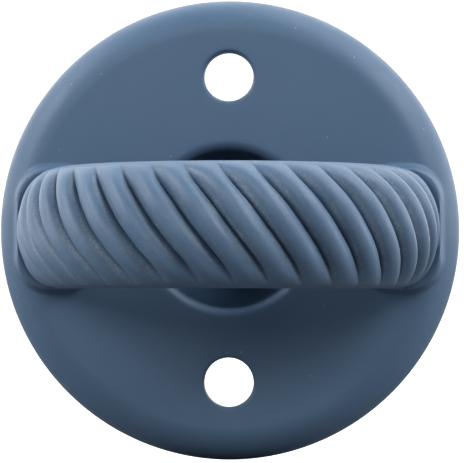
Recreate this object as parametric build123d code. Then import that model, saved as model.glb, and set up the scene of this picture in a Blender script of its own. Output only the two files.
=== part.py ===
from build123d import *
import os

# A baby pacifier moulded in one piece of silicone: a round shield, a half-ring handle
# across its front and a hollow teat behind it. Every solid here is one region of that
# moulding, and neighbouring regions meet face to face.
# Millimetres, +Z up. X runs along the handle, -Y points out of the front, +Y into the
# teat. The origin is the centre of the shield's flat front face.

# Shield: a plate whose front edge rolls back into a rounded lip
shield_diameter = 47.0
shield_wall = 2.4
front_roll = 3.5

# Vent holes, one above and one below the handle
vent_diameter = 5.0
vent_to_rim = 5.5
vent_edge_radius = 0.35

# Mouth of the hollow teat
mouth_diameter = 16.0
mouth_edge_radius = 0.7

# Handle: half a ring with an elliptical section
handle_thickness = 7.6
handle_width = 11.8
leg_height = 5.2

# Feet: rounded pads that the handle rises from
foot_height = 1.3
foot_to_rim = 1.7
foot_outer_ledge = 0.6
foot_inner_ledge = 0.65
foot_side_ledge = 0.6
foot_corner_radius = 3.6
foot_top_radius = 0.8

# Teat, measured back from the shield's front face
teat_length = 30.5
teat_wall = 1.5
bulb_diameter = 15.6
neck_diameter = 12.4
waist_depth = 15.0
collar_depth = 8.5
neck_depth = 17.5
collar_ledge = 2.4

# Pull of the curves between the shield's rear face and the waist, outside and inside
collar_lean = 0.4
collar_pull = 7.1
outer_waist_pull = 5.2
mouth_pull = 8.1
inner_waist_pull = 5.7

shield_radius = shield_diameter / 2
mouth_radius = mouth_diameter / 2
vent_radius = vent_diameter / 2
vent_height = shield_radius - vent_to_rim - vent_radius
foot_outer_end = shield_radius - foot_to_rim
handle_radius = foot_outer_end - foot_outer_ledge - handle_thickness / 2
foot_inner_end = handle_radius - handle_thickness / 2 - foot_inner_ledge


def shield_outline():
    """Half section of the plate: X is the radius, Y the depth behind the front face."""
    flat_radius = shield_radius - front_roll
    lip_radius = shield_wall / 2
    with BuildSketch(Plane.XY) as section:
        with BuildLine():
            Line((mouth_radius, shield_wall), (mouth_radius, mouth_edge_radius))
            CenterArc((mouth_radius + mouth_edge_radius, mouth_edge_radius), mouth_edge_radius, 180, 90)
            Line((mouth_radius + mouth_edge_radius, 0), (flat_radius, 0))
            CenterArc((flat_radius, front_roll), front_roll, -90, 90)
            CenterArc((shield_radius - lip_radius, front_roll), lip_radius, 0, 180)
            CenterArc((flat_radius, front_roll), front_roll - shield_wall, 0, -90)
            Line((flat_radius, shield_wall), (mouth_radius, shield_wall))
        make_face()
    return section.sketch


def shield():
    """The plate, with a rounded edge on both ends of each vent hole."""
    plate = revolve(shield_outline(), Axis.Y)
    vent = Plane.XZ * Cylinder(vent_radius, 4 * shield_wall)
    for height in (vent_height, -vent_height):
        plate -= Pos(0, 0, height) * vent
    vent_edges = [
        edge
        for edge in plate.edges().filter_by(GeomType.CIRCLE)
        if abs(edge.radius - vent_radius) < 0.01 and abs(edge.arc_center.Z) > vent_radius
    ]
    return fillet(vent_edges, vent_edge_radius)


def plain_front():
    """The shield's front surface on a solid disc, which the feet are trimmed against."""
    disc = Pos(0, front_roll, 0) * (Plane.XZ * Cylinder(shield_radius, 2 * front_roll))
    front_edge = disc.edges().filter_by(GeomType.CIRCLE).sort_by(Axis.Y)[0]
    return fillet(front_edge, front_roll)


def foot():
    """The right foot: a low pad with rounded corners, trimmed to the shield's front."""
    length = foot_outer_end - foot_inner_end
    height = handle_width + 2 * foot_side_ledge
    middle = (foot_outer_end + foot_inner_end) / 2
    outline = RectangleRounded(length, height, foot_corner_radius)
    base = Plane(origin=(middle, front_roll, 0), x_dir=(1, 0, 0), z_dir=(0, -1, 0))
    pad = extrude(base * outline, front_roll + foot_height)
    top_edges = pad.faces().sort_by(Axis.Y)[0].edges()
    return fillet(top_edges, foot_top_radius) - plain_front()


def handle_ring():
    """Half a ring that stands on the feet and bows out of the front."""
    foot_top = Plane(origin=(handle_radius, -foot_height, 0), x_dir=(1, 0, 0), z_dir=(0, -1, 0))
    section = foot_top * Ellipse(handle_thickness / 2, handle_width / 2)
    return revolve(section, Axis((0, -foot_height, 0), (0, 0, -1)), 180)


def handle_parts():
    """The ring cut level into its left leg, its right leg and the arch between them."""
    leg_top = Plane(origin=(0, -foot_height - leg_height, 0), z_dir=(0, -1, 0))
    arch = split(handle_ring(), bisect_by=leg_top, keep=Keep.TOP)
    legs = split(handle_ring(), bisect_by=leg_top, keep=Keep.BOTTOM)
    left, right = legs.solids().sort_by(Axis.X)
    return left, right, arch


def bulb_side(offset):
    """The waist's arc and the bulb's arc as (waist point, arc middle, joint, bulb middle, tip).

    The bulb is a ball. The neck runs into it along an arc that bends the other way.
    offset is how far the surface lies inside the teat's outer one.
    """
    ball_radius = bulb_diameter / 2
    neck_radius = neck_diameter / 2
    ball_depth = teat_length - ball_radius
    span = ball_depth - waist_depth
    arc_radius = (neck_radius**2 + span**2 - ball_radius**2) / (2 * (ball_radius - neck_radius))
    arc_centre = Vector(neck_radius + arc_radius, waist_depth)
    ball_centre = Vector(0, ball_depth)
    along = (ball_centre - arc_centre).normalized()
    inside_arc = arc_radius + offset
    inside_ball = ball_radius - offset
    waist = arc_centre + Vector(-inside_arc, 0)
    joint = arc_centre + along * inside_arc
    arc_middle = arc_centre + (waist + joint - arc_centre * 2).normalized() * inside_arc
    tip = ball_centre + Vector(0, inside_ball)
    bulb_middle = ball_centre + (joint + tip - ball_centre * 2).normalized() * inside_ball
    return waist, arc_middle, joint, bulb_middle, tip


def teat():
    """The whole hollow teat, a body of revolution behind the shield."""
    root_edge = Vector(mouth_radius + collar_ledge, shield_wall)
    mouth_edge = Vector(mouth_radius, shield_wall)
    root_pull = Vector(-collar_lean, collar_pull)
    mouth_edge_pull = Vector(0, mouth_pull)
    outer_pull = Vector(0, outer_waist_pull)
    inner_pull = Vector(0, inner_waist_pull)
    outside = bulb_side(0)
    inside = bulb_side(teat_wall)
    with BuildSketch(Plane.XY) as section:
        with BuildLine():
            Line(mouth_edge, root_edge)
            Bezier(root_edge, root_edge + root_pull, outside[0] - outer_pull, outside[0])
            ThreePointArc(outside[0], outside[1], outside[2])
            ThreePointArc(outside[2], outside[3], outside[4])
            Line(outside[4], inside[4])
            ThreePointArc(inside[4], inside[3], inside[2])
            ThreePointArc(inside[2], inside[1], inside[0])
            Bezier(mouth_edge, mouth_edge + mouth_edge_pull, inside[0] - inner_pull, inside[0])
        make_face()
    return revolve(section.sketch, Axis.Y)


def teat_parts():
    """The teat cut across into collar, neck and bulb."""
    collar_end = Plane(origin=(0, collar_depth, 0), z_dir=(0, 1, 0))
    neck_end = Plane(origin=(0, neck_depth, 0), z_dir=(0, 1, 0))
    collar = split(teat(), bisect_by=collar_end, keep=Keep.BOTTOM)
    rest = split(teat(), bisect_by=collar_end, keep=Keep.TOP)
    neck = split(rest, bisect_by=neck_end, keep=Keep.BOTTOM)
    bulb = split(rest, bisect_by=neck_end, keep=Keep.TOP)
    return collar, neck, bulb


def write_parts():
    """Writes one STEP file for each region."""
    leg_left, leg_right, arch = handle_parts()
    collar, neck, bulb = teat_parts()
    nodes = {
        "shield": shield(),
        "handle_foot_left": mirror(foot(), Plane.YZ),
        "handle_foot_right": foot(),
        "handle_leg_left": leg_left,
        "handle_leg_right": leg_right,
        "handle_arch": arch,
        "teat_collar": collar,
        "teat_neck": neck,
        "teat_bulb": bulb,
    }
    os.makedirs("parts", exist_ok=True)
    for name, solid in nodes.items():
        export_step(solid, f"parts/{name}.step")


write_parts()
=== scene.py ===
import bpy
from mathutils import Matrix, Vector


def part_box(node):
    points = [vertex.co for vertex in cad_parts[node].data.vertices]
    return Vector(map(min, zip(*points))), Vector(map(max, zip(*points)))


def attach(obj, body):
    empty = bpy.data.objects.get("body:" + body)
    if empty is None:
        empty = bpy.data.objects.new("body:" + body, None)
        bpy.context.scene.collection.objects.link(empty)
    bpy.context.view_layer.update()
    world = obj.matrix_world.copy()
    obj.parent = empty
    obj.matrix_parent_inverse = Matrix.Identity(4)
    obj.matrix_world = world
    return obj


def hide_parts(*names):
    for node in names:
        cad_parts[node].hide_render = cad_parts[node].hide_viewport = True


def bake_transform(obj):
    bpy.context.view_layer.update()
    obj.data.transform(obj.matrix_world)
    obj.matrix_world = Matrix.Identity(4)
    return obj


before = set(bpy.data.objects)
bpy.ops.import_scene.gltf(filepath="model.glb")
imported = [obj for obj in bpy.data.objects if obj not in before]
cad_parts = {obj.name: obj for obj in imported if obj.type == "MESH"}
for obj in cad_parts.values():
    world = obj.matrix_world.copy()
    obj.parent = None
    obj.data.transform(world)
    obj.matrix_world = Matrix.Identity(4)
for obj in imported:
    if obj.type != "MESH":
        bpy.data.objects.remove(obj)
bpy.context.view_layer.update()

from math import acos, atan2, ceil, cos, hypot, pi, radians, sin, sqrt

import bmesh
import bpy
from mathutils import Matrix, Vector
from mathutils.geometry import interpolate_bezier


# ---- Shield and feet -------------------------------------------------------
# A round plate of solid slate-blue silicone, thick and soft. Its front edge rolls back into a
# rounded lip, two vent holes go through it, and the hollow teat opens in its middle. The two
# pads that the handle rises from are moulded with it and run into its face in a soft curve.

MM = 0.001
SHIELD_WALL = 2.4 * MM
MOUTH_RADIUS = 8.0 * MM
MOUTH_EDGE = 1.0 * MM
VENT_RADIUS = 2.5 * MM
VENT_EDGE = 0.35 * MM
VENT_TO_RIM = 5.5 * MM
FOOT_CORNER = 3.6 * MM
FOOT_SHOULDER = 0.75 * MM
FOOT_SPREAD = 0.15 * MM
ROOT_GROOVE_WIDTH = 0.4 * MM
ROOT_GROOVE_DEPTH = 0.12 * MM
FRONT_MARGIN = 0.3 * MM
SHIELD_SEGMENTS = 720
SLATE_BLUE = (0.064, 0.112, 0.181, 1)
BLOOM_BLUE = (0.23, 0.3, 0.38, 1)
GRAIN_HEIGHT = 0.02 * MM
SILICONE_IOR = 1.42

shield_low, shield_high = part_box("shield")
foot_low, foot_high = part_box("handle_foot_right")
arch_low, arch_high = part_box("handle_arch")
shield_radius = shield_high.x
front_roll = shield_high.y - SHIELD_WALL / 2
flat_radius = shield_radius - front_roll
foot_top = foot_low.y
foot_middle = (foot_low.x + foot_high.x) / 2
foot_half_length = (foot_high.x - foot_low.x) / 2
foot_half_height = foot_high.z
vent_height = shield_radius - VENT_TO_RIM - VENT_RADIUS

# The handle's ring, which the feet leave a narrow moat around
ROPE_THICKNESS = 7.6 * MM
rope_half_width = arch_high.z
rope_half_thickness = ROPE_THICKNESS / 2
ring_radius = foot_top - arch_low.y - rope_half_thickness


def arc(centre, radius, start, end, steps):
    """Points of an arc in a turned section: (distance from the axis, depth), angles in degrees."""
    angles = [radians(start + (end - start) * i / steps) for i in range(steps + 1)]
    return [(centre[0] + radius * cos(a), centre[1] + radius * sin(a)) for a in angles]


def turned(outline, segments, closed, centre=(0, 0, 0)):
    """A bmesh turned about an axis along Y through centre, from an outline of (radius, depth).

    One eighth of the turn is spun, then doubled three times, which is far quicker.
    """
    bm = bmesh.new()
    points = [bm.verts.new((centre[0] + r, centre[1] + y, centre[2])) for r, y in outline]
    pairs = zip(points, points[1:] + points[:1]) if closed else zip(points, points[1:])
    edges = [bm.edges.new(pair) for pair in pairs]
    bmesh.ops.spin(
        bm, geom=points + edges, cent=centre, axis=(0, 1, 0), angle=pi / 4, steps=segments // 8
    )
    for turn in (pi / 4, pi / 2, pi):
        copied = bmesh.ops.duplicate(bm, geom=bm.verts[:] + bm.edges[:] + bm.faces[:])["geom"]
        moved = [v for v in copied if isinstance(v, bmesh.types.BMVert)]
        bmesh.ops.rotate(bm, cent=centre, matrix=Matrix.Rotation(turn, 3, "Y"), verts=moved)
    bmesh.ops.remove_doubles(bm, verts=bm.verts, dist=0.001 * MM)
    return bm


def finished_piece(bm, name, material, sharp_angle=50):
    """Turns the faces outwards, shades them smooth and makes the object at the origin."""
    bmesh.ops.recalc_face_normals(bm, faces=bm.faces)
    mesh = bpy.data.meshes.new(name)
    bm.to_mesh(mesh)
    bm.free()
    mesh.shade_smooth()
    mesh.set_sharp_from_angle(angle=radians(sharp_angle))
    mesh.materials.append(material)
    piece = bpy.data.objects.new(name, mesh)
    bpy.context.scene.collection.objects.link(piece)
    return piece


def smooth_step(low, high, value):
    t = min(1, max(0, (value - low) / (high - low)))
    return t * t * (3 - 2 * t)


def foot_rise(x, z):
    """How far the foot has risen at a place on the face: 0 outside it, 1 on its top."""
    across = abs(abs(x) - foot_middle) - foot_half_length + FOOT_CORNER
    along = abs(z) - foot_half_height + FOOT_CORNER
    outside = hypot(max(across, 0), max(along, 0)) + min(max(across, along), 0) - FOOT_CORNER
    return 1 - smooth_step(FOOT_SPREAD - FOOT_SHOULDER, FOOT_SPREAD, outside)


def root_groove(x, z):
    """Depth of the moat around the rope's root: 1 against the rope, 0 away from it."""
    across = (abs(x) - ring_radius) / rope_half_thickness
    along = z / rope_half_width
    reach = hypot(across, along)
    gap = (reach - 1) * hypot(abs(x) - ring_radius, z) / max(reach, 0.01)
    return 1 - smooth_step(0, ROOT_GROOVE_WIDTH, gap)


def shield_outline():
    """The plate's section, from the mouth's rear edge round the front and back to the rear face."""
    coarse, fine = 0.6 * MM, 0.16 * MM
    dense_from = foot_low.x - 2 * FOOT_SHOULDER
    mouth_end = MOUTH_RADIUS + MOUTH_EDGE
    inner = [mouth_end + (dense_from - mouth_end) * i / 6 for i in range(1, 6)]
    steps = ceil((flat_radius - dense_from) / fine)
    outer = [dense_from + (flat_radius - dense_from) * i / steps for i in range(steps)]
    roll_steps = ceil(front_roll * pi / 2 / fine)
    rear_steps = ceil((flat_radius - MOUTH_RADIUS) / coarse)
    rear_width = flat_radius - MOUTH_RADIUS
    rear = [flat_radius - rear_width * i / rear_steps for i in range(1, rear_steps)]
    lip_centre = (shield_radius - SHIELD_WALL / 2, front_roll)
    return (
        [(MOUTH_RADIUS, SHIELD_WALL)]
        + arc((mouth_end, MOUTH_EDGE), MOUTH_EDGE, 180, 270, 10)
        + [(r, 0) for r in inner + outer]
        + arc((flat_radius, front_roll), front_roll, -90, 0, roll_steps)
        + arc(lip_centre, SHIELD_WALL / 2, 0, 180, 20)[1:]
        + arc((flat_radius, front_roll), front_roll - SHIELD_WALL, 0, -90, 10)[1:]
        + [(r, SHIELD_WALL) for r in rear]
    )


def open_vent(bm, height):
    """Clears a patch of the plate, drops in a round-edged tube and fills up to its two rims."""
    patch = VENT_RADIUS + VENT_EDGE + 0.5 * MM
    middle = Vector((0, 0, height))

    def near(place):
        return hypot(place.x, place.z - height) < patch

    bmesh.ops.delete(bm, geom=[f for f in bm.faces if near(f.calc_center_median())], context="FACES")
    wall = (
        arc((VENT_RADIUS + VENT_EDGE, VENT_EDGE), VENT_EDGE, 270, 180, 6)
        + arc((VENT_RADIUS + VENT_EDGE, SHIELD_WALL - VENT_EDGE), VENT_EDGE, 180, 90, 6)
    )
    tube = turned(wall, 96, closed=False, centre=middle)
    tube_mesh = bpy.data.meshes.new("vent_tube")
    tube.to_mesh(tube_mesh)
    tube.free()
    bm.from_mesh(tube_mesh)
    bpy.data.meshes.remove(tube_mesh)

    def on_rim(vertex, depth):
        place = vertex.co
        return abs(place.y - depth) < 0.01 * MM and hypot(place.x, place.z - height) < 3 * patch

    for depth, facing in ((0, -1), (SHIELD_WALL, 1)):
        rims = [e for e in bm.edges if e.is_boundary and all(on_rim(v, depth) for v in e.verts)]
        bmesh.ops.triangle_fill(bm, use_beauty=True, edges=rims, normal=(0, facing, 0))


def silicone_group():
    """Moulded silicone: a fine grain, soft clouds of paler bloom, and a few specks of dust."""
    group = bpy.data.node_groups.new("moulded silicone skin", "ShaderNodeTree")
    face = group.interface
    face.new_socket("Colour", in_out="INPUT", socket_type="NodeSocketColor")
    face.new_socket("Bloom Colour", in_out="INPUT", socket_type="NodeSocketColor")
    face.new_socket("Bloom", in_out="INPUT", socket_type="NodeSocketFloat")
    face.new_socket("Dust", in_out="INPUT", socket_type="NodeSocketFloat")
    face.new_socket("Roughness", in_out="INPUT", socket_type="NodeSocketFloat")
    face.new_socket("Colour", in_out="OUTPUT", socket_type="NodeSocketColor")
    face.new_socket("Roughness", in_out="OUTPUT", socket_type="NodeSocketFloat")
    face.new_socket("Height", in_out="OUTPUT", socket_type="NodeSocketFloat")
    nodes, links = group.nodes, group.links
    given = nodes.new("NodeGroupInput")
    made = nodes.new("NodeGroupOutput")
    place = nodes.new("ShaderNodeTexCoord")

    def noise(scale, detail, roughness=0.5):
        node = nodes.new("ShaderNodeTexNoise")
        node.inputs["Scale"].default_value = scale
        node.inputs["Detail"].default_value = detail
        node.inputs["Roughness"].default_value = roughness
        links.new(place.outputs["Object"], node.inputs["Vector"])
        return node.outputs["Fac"]

    def ranged(value, low, high, to_low, to_high):
        node = nodes.new("ShaderNodeMapRange")
        node.inputs["From Min"].default_value = low
        node.inputs["From Max"].default_value = high
        node.inputs["To Min"].default_value = to_low
        node.inputs["To Max"].default_value = to_high
        links.new(value, node.inputs["Value"])
        return node.outputs["Result"]

    def math(kind, *values):
        node = nodes.new("ShaderNodeMath")
        node.operation = kind
        for socket, value in zip(node.inputs, values):
            if isinstance(value, (int, float)):
                socket.default_value = value
            else:
                links.new(value, socket)
        return node.outputs["Value"]

    def mixed(share, a, b):
        node = nodes.new("ShaderNodeMix")
        node.data_type = "RGBA"
        links.new(share, node.inputs["Factor"])
        links.new(a, node.inputs[6])
        links.new(b, node.inputs[7])
        return node.outputs[2]

    clouds = ranged(noise(90, 3), 0.35, 0.75, 0, 1)
    mottle = noise(650, 2)
    grain = noise(5200, 2, 0.6)
    specks = nodes.new("ShaderNodeTexVoronoi")
    specks.inputs["Scale"].default_value = 700
    specks.inputs["Randomness"].default_value = 1
    links.new(place.outputs["Object"], specks.inputs["Vector"])
    chosen = nodes.new("ShaderNodeSeparateColor")
    links.new(specks.outputs["Color"], chosen.inputs["Color"])
    few = ranged(chosen.outputs["Red"], 0.7, 0.72, 0, 1)
    spot = math("MULTIPLY", ranged(specks.outputs["Distance"], 0.03, 0.075, 1, 0), few)
    dust = math("MULTIPLY", spot, given.outputs["Dust"])
    bloom = math("MULTIPLY", math("MULTIPLY_ADD", clouds, 0.6, 0.5), given.outputs["Bloom"])
    bloom = math("MULTIPLY", bloom, ranged(mottle, 0.3, 0.7, 0.75, 1.25))
    bloom = math("MULTIPLY", bloom, ranged(grain, 0.35, 0.65, 0.6, 1.4))
    tinted = mixed(bloom, given.outputs["Colour"], given.outputs["Bloom Colour"])
    dusted = mixed(dust, tinted, given.outputs["Bloom Colour"])
    links.new(dusted, made.inputs["Colour"])
    rough = math("ADD", given.outputs["Roughness"], ranged(mottle, 0.3, 0.7, -0.04, 0.05))
    links.new(rough, made.inputs["Roughness"])
    height = math("ADD", grain, math("MULTIPLY", mottle, 0.8))
    links.new(height, made.inputs["Height"])
    return group


silicone_skin = silicone_group()


def silicone(name, roughness, bloom, dust):
    """One silicone finish. Returns (material, the node that holds its skin)."""
    material = bpy.data.materials.new(name)
    material.use_nodes = True
    nodes, links = material.node_tree.nodes, material.node_tree.links
    shader = nodes["Principled BSDF"]
    skin = nodes.new("ShaderNodeGroup")
    skin.node_tree = silicone_skin
    skin.inputs["Colour"].default_value = SLATE_BLUE
    skin.inputs["Bloom Colour"].default_value = BLOOM_BLUE
    skin.inputs["Bloom"].default_value = bloom
    skin.inputs["Dust"].default_value = dust
    skin.inputs["Roughness"].default_value = roughness
    bump = nodes.new("ShaderNodeBump")
    bump.inputs["Strength"].default_value = 0.25
    bump.inputs["Distance"].default_value = GRAIN_HEIGHT
    links.new(skin.outputs["Colour"], shader.inputs["Base Color"])
    links.new(skin.outputs["Roughness"], shader.inputs["Roughness"])
    links.new(skin.outputs["Height"], bump.inputs["Height"])
    links.new(bump.outputs["Normal"], shader.inputs["Normal"])
    shader.inputs["IOR"].default_value = SILICONE_IOR
    return material, skin


shield_finish, _ = silicone("matt silicone, shield", roughness=0.48, bloom=0.05, dust=0.7)

plate = turned(shield_outline(), SHIELD_SEGMENTS, closed=True)
for height in (vent_height, -vent_height):
    open_vent(plate, height)
for vertex in plate.verts:
    x, y, z = vertex.co
    near_foot = hypot(x, z) > foot_low.x - 2 * FOOT_SHOULDER
    if near_foot and y < min(front_roll, foot_high.y + FRONT_MARGIN):
        top = foot_top + ROOT_GROOVE_DEPTH * root_groove(x, z)
        vertex.co.y = y + (top - y) * foot_rise(x, z)
shield = finished_piece(plate, "shield_with_feet", shield_finish)
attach(shield, "soother_body")
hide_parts("shield", "handle_foot_left", "handle_foot_right")


# ---- Handle ----------------------------------------------------------------
# Half a ring of solid silicone with the look of a twisted rope. The strands are round lobes
# with sharp valleys between them. They run out before the mould's parting line on each side,
# and the ring's inner face is smooth. Its two roots sink into the feet. The valleys carry a
# deeper blue, which is painted shade, and a paler bloom just beside each valley is a painted
# highlight along the strand edges.

STRAND_PITCH = radians(10.12)
FIRST_VALLEY = radians(7.64)
TWIST_ABOVE = (0.174, 0)
TWIST_BELOW = (0.191, -0.0186)
VALLEY_DEPTH = 1.2 * MM
LOBE_ANGLE = radians(61)
LOBE_STEPS = 22
ROPE_SEGMENTS = 120
STRAND_END = (radians(38), radians(84))
ROOT_DEPTH = 0.8 * MM
PARTING_RIDGE = 0.1 * MM
ROPE_BLOOM = 0.15
# Paler bloom just beside each valley: a painted highlight along the strand edges.
VALLEY_EDGE_PAINTED_HIGHLIGHT = 0.38
# Crest blue and a deeper valley blue: the deeper blue is painted shade in the valleys.
CREST_BLUE = (0.067, 0.117, 0.188, 1)
PAINTED_VALLEY_SHADE_BLUE = (0.043, 0.078, 0.13, 1)

valleys_before = ceil((FIRST_VALLEY + radians(24)) / STRAND_PITCH)
ring_start = FIRST_VALLEY - valleys_before * STRAND_PITCH
lobes = ceil((pi + radians(24) - ring_start) / STRAND_PITCH)


def lobe_height(place):
    """Height across one strand, from 0 in a valley to 1 on its crest: a round arc."""
    reach = sin(LOBE_ANGLE) * abs(2 * place - 1)
    edge = cos(LOBE_ANGLE)
    return (sqrt(1 - reach * reach) - edge) / (1 - edge)


def twist_at(around):
    """How far the strands have turned at an angle round the section, 0 on the ring's outside."""
    side = min(abs(around), pi - abs(around))
    even, curved = TWIST_ABOVE if around > 0 else TWIST_BELOW
    turn = even * side + curved * side**3
    return turn if around > 0 else -turn


rope = bmesh.new()
bmesh.ops.create_circle(rope, segments=ROPE_SEGMENTS, radius=1)
far_ring = bmesh.ops.extrude_edge_only(rope, edges=rope.edges)["geom"]
bmesh.ops.translate(
    rope, vec=(0, 0, lobes), verts=[v for v in far_ring if isinstance(v, bmesh.types.BMVert)]
)
lengthwise = [e for e in rope.edges if e.verts[0].co.z != e.verts[1].co.z]
bmesh.ops.subdivide_edges(rope, edges=lengthwise, cuts=lobes * LOBE_STEPS - 1, use_grid_fill=True)
# Where the painted highlight goes, just beside each valley.
painted_highlight_layer = rope.verts.layers.float.new("valley_edge_highlight")
# Where the painted shade goes, in each valley.
painted_shade_layer = rope.verts.layers.float.new("valley_painted_shade")
for vertex in rope.verts:
    around = atan2(vertex.co.y, vertex.co.x)
    step = round(vertex.co.z * LOBE_STEPS)
    place = step % LOBE_STEPS / LOBE_STEPS
    along = ring_start + step / LOBE_STEPS * STRAND_PITCH
    shown = 1 - smooth_step(*STRAND_END, abs(around))
    sunk = VALLEY_DEPTH * (1 - lobe_height(place)) * shown
    from_valley = min(place, 1 - place)
    # Painted highlight: a band just beside each valley.
    beside = smooth_step(0.02, 0.1, from_valley) * (1 - smooth_step(0.1, 0.22, from_valley))
    vertex[painted_highlight_layer] = shown * beside
    # Painted shade: strongest in the valley, gone about a third of a strand away from it.
    vertex[painted_shade_layer] = shown * (1 - smooth_step(0, 0.34, from_valley))
    radius = ring_radius + (rope_half_thickness - sunk) * cos(around)
    height = (rope_half_width - sunk) * sin(around)
    if abs(abs(around) - pi / 2) < 0.5 * pi / ROPE_SEGMENTS:
        height *= 1 + PARTING_RIDGE / rope_half_width
    angle = along + twist_at(around)
    if angle < 0:
        vertex.co = (radius, foot_top - angle * ring_radius, height)
    elif angle > pi:
        vertex.co = (-radius, foot_top + (angle - pi) * ring_radius, height)
    else:
        vertex.co = (radius * cos(angle), foot_top - radius * sin(angle), height)
bmesh.ops.bisect_plane(
    rope, geom=rope.verts[:] + rope.edges[:] + rope.faces[:],
    plane_co=(0, foot_top + ROOT_DEPTH, 0), plane_no=(0, 1, 0), clear_outer=True,
)
bmesh.ops.holes_fill(rope, edges=[e for e in rope.edges if e.is_boundary], sides=0)

handle_finish, handle_skin = silicone(
    "matt silicone, rope handle", roughness=0.45, bloom=ROPE_BLOOM, dust=0.2
)
handle_nodes, handle_links = handle_finish.node_tree.nodes, handle_finish.node_tree.links
# Paler bloom beside each valley, a painted highlight, added to the rope's even bloom.
painted_highlight_attribute = handle_nodes.new("ShaderNodeAttribute")
painted_highlight_attribute.attribute_name = "valley_edge_highlight"
bloom_and_painted_highlight = handle_nodes.new("ShaderNodeMath")
bloom_and_painted_highlight.operation = "MULTIPLY_ADD"
bloom_and_painted_highlight.inputs[1].default_value = VALLEY_EDGE_PAINTED_HIGHLIGHT
bloom_and_painted_highlight.inputs[2].default_value = ROPE_BLOOM
handle_links.new(painted_highlight_attribute.outputs["Fac"], bloom_and_painted_highlight.inputs[0])
handle_links.new(bloom_and_painted_highlight.outputs["Value"], handle_skin.inputs["Bloom"])
# Deeper blue towards each valley: painted shade.
painted_shade_attribute = handle_nodes.new("ShaderNodeAttribute")
painted_shade_attribute.attribute_name = "valley_painted_shade"
painted_shade_colour = handle_nodes.new("ShaderNodeMix")
painted_shade_colour.data_type = "RGBA"
painted_shade_colour.inputs[6].default_value = CREST_BLUE
painted_shade_colour.inputs[7].default_value = PAINTED_VALLEY_SHADE_BLUE
handle_links.new(painted_shade_attribute.outputs["Fac"], painted_shade_colour.inputs["Factor"])
handle_links.new(painted_shade_colour.outputs[2], handle_skin.inputs["Colour"])
handle = finished_piece(rope, "rope_handle", handle_finish)
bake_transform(handle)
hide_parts("handle_arch", "handle_leg_left", "handle_leg_right")


# ---- Teat ------------------------------------------------------------------
# A hollow, thin-walled ball on a narrow neck, moulded in one with the shield. Its root flares
# out on the back of the plate, and its inside is open to the mouth in the plate's middle.

TEAT_WALL = 1.5 * MM
NECK_RADIUS = 6.2 * MM
WAIST_DEPTH = 15.0 * MM
TEAT_SEGMENTS = 192

collar_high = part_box("teat_collar")[1]
bulb_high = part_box("teat_bulb")[1]
root_radius = collar_high.x
ball_radius = bulb_high.x
ball_depth = bulb_high.y - ball_radius
waist_span = ball_depth - WAIST_DEPTH
waist_bend = (NECK_RADIUS**2 + waist_span**2 - ball_radius**2) / (2 * (ball_radius - NECK_RADIUS))
join_turn = 90 - acos(waist_span / (waist_bend + ball_radius)) * 180 / pi


def teat_side(inside):
    """One surface of the teat from its waist to its tip, lying this far inside the outer one."""
    bend_centre = (NECK_RADIUS + waist_bend, WAIST_DEPTH)
    waist = arc(bend_centre, waist_bend + inside, 180, 180 - join_turn, 24)
    ball = arc((0, ball_depth), ball_radius - inside, -join_turn, 90, 48)
    return waist + ball[1:]


def teat_root(edge, waist, edge_pull, waist_pull):
    """The curve from the plate's rear face to the waist, with the pull at its two ends."""
    start = Vector((*edge, 0))
    end = Vector((*waist, 0))
    from_edge = start + Vector((*edge_pull, 0))
    from_waist = end - Vector((0, waist_pull, 0))
    return [(p.x, p.y) for p in interpolate_bezier(start, from_edge, from_waist, end, 25)]


outside = teat_side(0)
inside = teat_side(TEAT_WALL)
outer_root = teat_root((root_radius, SHIELD_WALL), outside[0], (-0.4 * MM, 7.1 * MM), 5.2 * MM)
inner_root = teat_root((MOUTH_RADIUS, SHIELD_WALL), inside[0], (0, 8.1 * MM), 5.7 * MM)
outline = outer_root + outside[1:] + inside[:0:-1] + inner_root[::-1]
teat_finish, _ = silicone("smooth silicone, teat", roughness=0.45, bloom=0.05, dust=0)
teat_skin = turned(outline, TEAT_SEGMENTS, closed=True)
teat = finished_piece(teat_skin, "teat", teat_finish)
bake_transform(teat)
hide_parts("teat_collar", "teat_neck", "teat_bulb")


# ---- Studio ----------------------------------------------------------------
# A pale table and a bright white wall behind, which lights up the rims. Square soft lights stand
# 0.6 m away in an arc over the front, and most of the light comes from the two sides.

FLOOR_SIZE = 3.0
LIGHT_DISTANCE = 0.6
LIGHT_SIZE = 0.22
WALL_EDGE = 0.3
WALL_GLOW = 2.0
BACKDROP_GLOW = 1.1

table = bmesh.new()
bmesh.ops.create_grid(table, x_segments=1, y_segments=1, size=FLOOR_SIZE / 2)
bmesh.ops.translate(table, vec=(0, 0, shield_low.z - 0.05 * MM), verts=table.verts)
pale = bpy.data.materials.new("pale table")
pale.use_nodes = True
table_shader = pale.node_tree.nodes["Principled BSDF"]
table_shader.inputs["Base Color"].default_value = (0.15, 0.15, 0.15, 1)
table_shader.inputs["Roughness"].default_value = 0.7
table_shader.inputs["Emission Color"].default_value = (1, 1, 1, 1)
table_seen = pale.node_tree.nodes.new("ShaderNodeLightPath")
pale.node_tree.links.new(table_seen.outputs["Is Camera Ray"], table_shader.inputs["Emission Strength"])
floor_mesh = bpy.data.meshes.new("floor")
table.to_mesh(floor_mesh)
table.free()
floor_mesh.materials.append(pale)
floor_object = bpy.data.objects.new("floor", floor_mesh)
bpy.context.scene.collection.objects.link(floor_object)

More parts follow.
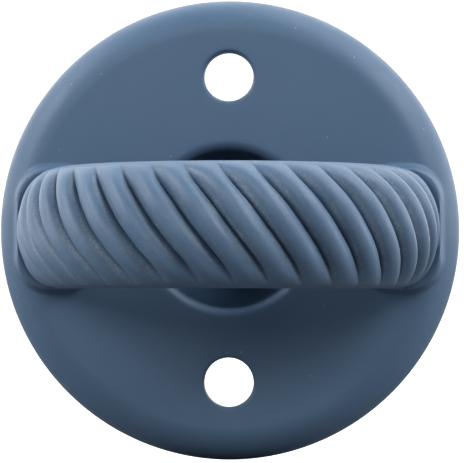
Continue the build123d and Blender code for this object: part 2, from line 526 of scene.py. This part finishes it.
world = bpy.data.worlds.new("white wall behind")
world.use_nodes = True
bpy.context.scene.world = world
world_nodes, world_links = world.node_tree.nodes, world.node_tree.links
surroundings = world_nodes["Background"]
surroundings.inputs["Color"].default_value = (1, 1, 1, 1)
direction = world_nodes.new("ShaderNodeTexCoord")
heading = world_nodes.new("ShaderNodeSeparateXYZ")
behind = world_nodes.new("ShaderNodeMapRange")
behind.inputs["From Min"].default_value = 0
behind.inputs["From Max"].default_value = WALL_EDGE
behind.inputs["To Min"].default_value = 0
behind.inputs["To Max"].default_value = WALL_GLOW
world_links.new(direction.outputs["Generated"], heading.inputs["Vector"])
world_links.new(heading.outputs["Y"], behind.inputs["Value"])
world_links.new(behind.outputs["Result"], surroundings.inputs["Strength"])
backdrop = world_nodes.new("ShaderNodeBackground")
backdrop.inputs["Color"].default_value = (1, 1, 1, 1)
backdrop.inputs["Strength"].default_value = BACKDROP_GLOW
seen = world_nodes.new("ShaderNodeLightPath")
choice = world_nodes.new("ShaderNodeMixShader")
world_links.new(seen.outputs["Is Camera Ray"], choice.inputs["Fac"])
world_links.new(surroundings.outputs["Background"], choice.inputs[1])
world_links.new(backdrop.outputs["Background"], choice.inputs[2])
world_links.new(choice.outputs["Shader"], world_nodes["World Output"].inputs["Surface"])


def softbox(name, sideways, upwards, power):
    """A square soft light facing the shield: degrees to the right of the front, and above level."""
    turn, rise = radians(sideways), radians(upwards)
    place = Vector((sin(turn) * cos(rise), -cos(turn) * cos(rise), sin(rise))) * LIGHT_DISTANCE
    lamp = bpy.data.lights.new(name, "AREA")
    lamp.shape = "SQUARE"
    lamp.size = LIGHT_SIZE
    lamp.energy = power
    light = bpy.data.objects.new(name, lamp)
    light.location = place
    light.rotation_euler = (-place).to_track_quat("-Z", "Y").to_euler()
    bpy.context.scene.collection.objects.link(light)


softbox("softbox_left", -90, 5, 0.8)
softbox("softbox_low_left", -60, 25, 1.5)
softbox("softbox_high_left", -75, 42, 1.1)
softbox("softbox_front", -12, 20, 0.75)
softbox("softbox_low_right", 50, 18, 0.4)
softbox("softbox_upper_right", 45, 35, 1.45)
softbox("softbox_side_right", 80, 42, 1.15)
softbox("softbox_right", 90, 5, 0.8)
softbox("softbox_top_right", 65, 70, 0.9)

# The camera looks at the front, a touch from below and from the right
CAMERA_DISTANCE = 0.2564
VIEW_WIDTH = 47.58 * MM
SENSOR_WIDTH = 36.0
CAMERA_AZIMUTH = radians(1.5)
CAMERA_RISE = radians(-1.35)
FRAME_OFFSET = (0.243 * MM, -0.154 * MM)

lens = bpy.data.cameras.new("camera")
lens.sensor_width = SENSOR_WIDTH
lens.lens = SENSOR_WIDTH * CAMERA_DISTANCE / VIEW_WIDTH
lens.clip_start = 0.01
lens.clip_end = 10
camera = bpy.data.objects.new("camera", lens)
aim = Vector((FRAME_OFFSET[0], front_roll, FRAME_OFFSET[1]))
back = Vector((
    sin(CAMERA_AZIMUTH) * cos(CAMERA_RISE), -cos(CAMERA_AZIMUTH) * cos(CAMERA_RISE), sin(CAMERA_RISE),
))
camera.location = aim + back * CAMERA_DISTANCE
camera.rotation_euler = (-back).to_track_quat("-Z", "Y").to_euler()
bpy.context.scene.collection.objects.link(camera)
bpy.context.scene.camera = camera
bpy.context.scene.view_settings.view_transform = "Standard"
bpy.context.scene.view_settings.look = "Medium High Contrast"
